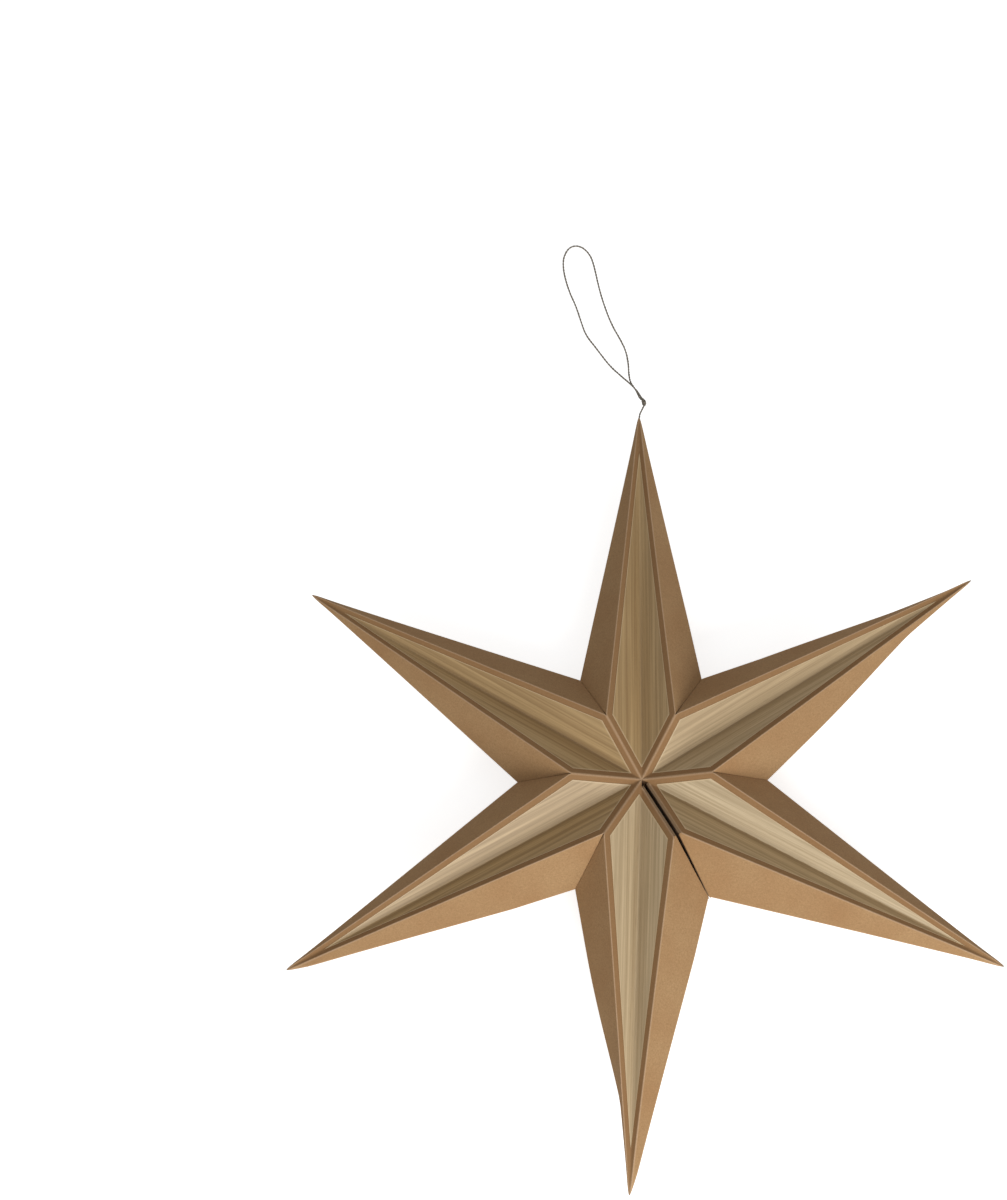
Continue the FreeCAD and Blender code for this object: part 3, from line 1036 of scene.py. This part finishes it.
# The paleness mixes the sheet's own tone with painted light: the lit halves are drawn paler.
pale = add(tree, "Attribute", attribute_name="pale").outputs["Fac"]
late, early = (
    add(tree, "Mix", {"Factor": pale, "A": colour(dark), "B": colour(light)}, data_type="RGBA")
    for dark, light in (("#a08156", "#bba582"), ("#c5a676", "#dac5a1"))
)
wood = add(tree, "Mix", {"Factor": growth, "A": late, "B": early}, data_type="RGBA")
streaked = add(tree, "MapRange", {"Value": streak, "From Min": 0.45, "From Max": 0.75,
                                  "To Min": 0.0, "To Max": STREAKING})
porous = add(tree, "MapRange", {"Value": pore, "From Min": 0.58, "From Max": 0.75,
                                "To Min": 0.0, "To Max": PORES})

# %% [markdown]
# ## Wood veneer: the crease and the rim
#
# The veneer is sanded but not varnished: a soft satin, a little less matt than the card.
# Along the valley the veneer is drawn darker as painted shade, where the crease lies in
# shade, less and less towards the tip. The knife leaves the rim paler than the aged face.

# %% Wood finish
CREASE_CORE = 0.3 * MM
CREASE_REACH = 7.5 * MM
CREASE_SHADE_DEPTH = 0.62
RIM_WIDTH = 0.9 * MM
RIM_PALENESS = 0.9

across_grain = add(tree, "SeparateXYZ", {"Vector": place}).outputs["Y"]
from_valley = add(tree, "Math", {0: across_grain}, operation="ABSOLUTE")
# Painted shade: the veneer is drawn darker near the valley, where the crease lies in shade.
crease_shade_profile = add(tree, "MapRange", {"Value": from_valley, "From Min": CREASE_CORE,
                                 "From Max": CREASE_REACH, "To Min": CREASE_SHADE_DEPTH, "To Max": 0.0},
              interpolation_type="SMOOTHSTEP")
crease_shade_strength = add(tree, "Attribute", attribute_name="crease").outputs["Fac"]
painted_crease_shade = add(tree, "Math", {0: crease_shade_profile, 1: crease_shade_strength}, operation="MULTIPLY")
rim = add(tree, "Attribute", attribute_name="rim").outputs["Fac"]
cut = add(tree, "MapRange", {"Value": rim, "From Min": 0.0, "From Max": RIM_WIDTH,
                             "To Min": RIM_PALENESS, "To Max": 0.0})
# The crease colour below is painted shade; the streaks, pores and cut rim are the wood's own.
for strength, code in ((streaked, "#937850"), (porous, "#7a6040"), (painted_crease_shade, "#745833"),
                       (cut, "#dcc39a")):
    wood = add(tree, "Mix", {"Factor": strength, "A": wood, "B": colour(code)}, data_type="RGBA")
bump = add(tree, "Bump", {"Height": pore, "Strength": 0.2, "Distance": 0.05 * MM})
skin = add(tree, "BsdfPrincipled", {"Base Color": wood, "Roughness": 0.5, "IOR": 1.5,
                                    "Normal": bump})
add(tree, "OutputMaterial", {"Surface": skin})
for facing in facings:
    facing.data.materials.append(veneer)
print("veneer on", len(facings), "facings")

# %% [markdown]
# ## Greyboard and magnets
#
# The seam boards are greyboard, pressed from mixed waste paper: a dull grey-brown with pale
# and dark specks, quite matt. The discs that hold the seam together are plated with black
# nickel, a dark metal with a soft haze, so nothing glints in the seam. The construction
# model's discs are right as they are, and only get their finish.

# %% Greyboard and black nickel
SPECK = 0.8
HAZE = 2.0

greyboard, tree = new_material("greyboard_pressed")
place = add(tree, "TexCoord").outputs["Object"]
speck = add(tree, "TexNoise", {"Vector": place, "Scale": per_metre(SPECK), "Detail": 4.0,
                               "Roughness": 0.7})
pulp = add(tree, "Mix", {"Factor": speck, "A": colour("#84694d"), "B": colour("#a78865")},
           data_type="RGBA")
bump = add(tree, "Bump", {"Height": speck, "Strength": 0.3, "Distance": 0.05 * MM})
skin = add(tree, "BsdfPrincipled", {"Base Color": pulp, "Roughness": 0.9, "IOR": 1.5,
                                    "Normal": bump})
add(tree, "OutputMaterial", {"Surface": skin})
for board in seam_boards:
    board.data.materials.append(greyboard)

nickel, tree = new_material("black_nickel_plating")
place = add(tree, "TexCoord").outputs["Object"]
haze = add(tree, "TexNoise", {"Vector": place, "Scale": per_metre(HAZE), "Detail": 3.0})
satin = add(tree, "MapRange", {"Value": haze, "To Min": 0.3, "To Max": 0.45})
skin = add(tree, "BsdfPrincipled", {"Base Color": colour("#4a4742"), "Metallic": 1.0,
                                    "Roughness": satin})
add(tree, "OutputMaterial", {"Surface": skin})
magnets = [node for name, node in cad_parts.items() if name.startswith("closure_magnet")]
for magnet in magnets:
    for slot in magnet.material_slots:
        slot.material = nickel
print("greyboard on", len(seam_boards), "boards, black nickel on", len(magnets), "magnets")

# %% [markdown]
# ## Flax
#
# Flax yarn is long pale-grey to brown fibre with a faint lustre, twisted and left unwaxed.
# The fibres lie along the yarn, so the streaks follow the point's place along it and round
# it.

# %% Flax twine
FIBRE = 2.2
FIBRES_ROUND = 2.5
YARN_APART = 300.0

flax, tree = new_material("flax_twine_twisted")
place = add(tree, "Attribute", attribute_name="lay").outputs["Vector"]
drawn = add(tree, "Mapping", {"Vector": place,
                              "Scale": (per_metre(FIBRE), FIBRES_ROUND, YARN_APART)})
fibre = add(tree, "TexNoise", {"Vector": drawn, "Scale": 1.0, "Detail": 4.0, "Roughness": 0.65})
strand = add(tree, "MapRange", {"Value": fibre, "From Min": 0.3, "From Max": 0.7})
twined = add(tree, "Mix", {"Factor": strand, "A": colour("#686055"), "B": colour("#a59c8d")},
             data_type="RGBA")
bump = add(tree, "Bump", {"Height": fibre, "Strength": 0.5, "Distance": 0.06 * MM})
skin = add(tree, "BsdfPrincipled", {"Base Color": twined, "Roughness": 0.7, "IOR": 1.55,
                                    "Normal": bump})
add(tree, "OutputMaterial", {"Surface": skin})
hanging_twine.data.materials.append(flax)
overhand_knot.data.materials.append(flax)
print("flax on the twine and its knot")

# %% [markdown]
# ## The table
#
# The table is matt white. To the camera, and in a reflection, it also glows a little, so
# that it reads as a clean white page. It still lights the star only by the light that falls
# on it, and it keeps the star's shadow.

# %% Table
TABLE_SIZE = 6.0
TABLE_GLOW = 0.75


def seen_directly(tree):
    """Node that gives 1 for rays from the camera, from a mirror and through glass."""
    rays = add(tree, "LightPath").outputs
    seen = add(tree, "Math", {0: rays["Is Camera Ray"], 1: rays["Is Glossy Ray"]},
               operation="MAXIMUM")
    return add(tree, "Math", {0: seen, 1: rays["Is Transmission Ray"]}, operation="MAXIMUM")


reach = TABLE_SIZE / 2
corners = [(-reach, -reach, 0), (reach, -reach, 0), (reach, reach, 0), (-reach, reach, 0)]
table_mesh = bpy.data.meshes.new("table")
table_mesh.from_pydata(corners, [], [(0, 1, 2, 3)])
table = bpy.data.objects.new("table", table_mesh)
bpy.context.scene.collection.objects.link(table)

white, tree = new_material("white_table")
glowing = add(tree, "Math", {0: seen_directly(tree), 1: TABLE_GLOW}, operation="MULTIPLY")
matt = add(tree, "BsdfDiffuse", {"Color": colour("#f2f2f2")})
glow = add(tree, "Emission", {"Strength": glowing})
both = add(tree, "AddShader", {0: matt, 1: glow})
add(tree, "OutputMaterial", {"Surface": both})
table_mesh.materials.append(white)
print("table:", TABLE_SIZE, "m wide")

# %% [markdown]
# ## The light
#
# One wide soft key stands low at the lower right of the picture, which is what tells the two
# panels of each arm apart. The world fills the rest evenly at a plain level, and is a white
# page only where the camera or a reflection looks straight at it.

# %% Light
WORLD_LIGHT = 0.33
KEY_PLACE = (0.36, -0.93, 0.58)
KEY_SIZE = 0.68
KEY_POWER = 9.8
STAR_MIDDLE = Vector((0, 0, MIDDLE * MM))

world = bpy.data.worlds.new("studio")
bpy.context.scene.world = world
world.use_nodes = True
tree = world.node_tree
tree.nodes.clear()
sky = add(tree, "Background", {"Color": colour("#ffffff"), "Strength": WORLD_LIGHT})
page = add(tree, "Background", {"Color": colour("#ffffff"), "Strength": 1.0})
choice = add(tree, "MixShader", {0: seen_directly(tree), 1: sky, 2: page})
add(tree, "OutputWorld", {"Surface": choice})

lamp = bpy.data.lights.new("key_light", "AREA")
lamp.size = KEY_SIZE
lamp.energy = KEY_POWER
key_light = bpy.data.objects.new("key_light", lamp)
key_light.location = KEY_PLACE
key_light.rotation_mode = "QUATERNION"
key_light.rotation_quaternion = (STAR_MIDDLE - Vector(KEY_PLACE)).to_track_quat("-Z", "Y")
key_light.visible_camera = False
bpy.context.scene.collection.objects.link(key_light)
bpy.context.scene.view_settings.view_transform = "Standard"
print("light: one key, and the world at", WORLD_LIGHT)
